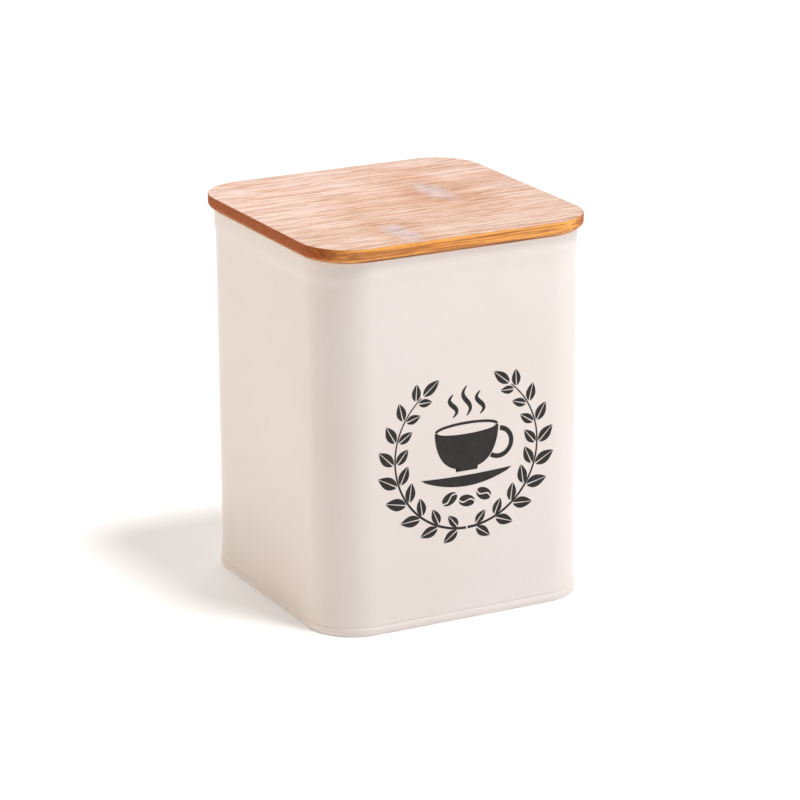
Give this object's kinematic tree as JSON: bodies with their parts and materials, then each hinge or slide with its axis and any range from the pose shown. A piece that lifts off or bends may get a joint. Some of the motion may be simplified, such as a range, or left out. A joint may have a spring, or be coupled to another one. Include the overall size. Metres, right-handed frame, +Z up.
{
  "type": "coffee tin",
  "caption": "Square tinplate storage tin with rounded corners, a seamed base and a lift-off bamboo lid whose silicone seal keeps ground coffee fresh.",
  "frame": {"origin": "on the surface that the tin stands on, under the middle of the tin", "axes": "+Z up, -Y out of the printed front wall, X along the front wall and along the lid's grain"},
  "size_m": [0.11, 0.11, 0.1426],
  "materials": {
    "enamelled_wall": "satin cream enamel outside, bare tinplate inside",
    "enamelled_base": "satin cream enamel outside, bare tinplate inside",
    "bamboo_board": "sanded and oiled bamboo",
    "bamboo_plug": "sanded bamboo",
    "silicone_seal": "milky translucent silicone"
  },
  "bodies": {
    "tin": {"body_wall": "enamelled_wall", "base_panel": "enamelled_base"},
    "lid": {"lid_board": "bamboo_board", "lid_plug": "bamboo_plug", "lid_seal": "silicone_seal"}
  },
  "joints": [
    {"name": "lid_lift", "type": "slide", "parent": "tin", "child": "lid", "axis": [0, 0, 1], "range_m": [0, 0.06]}
  ]
}
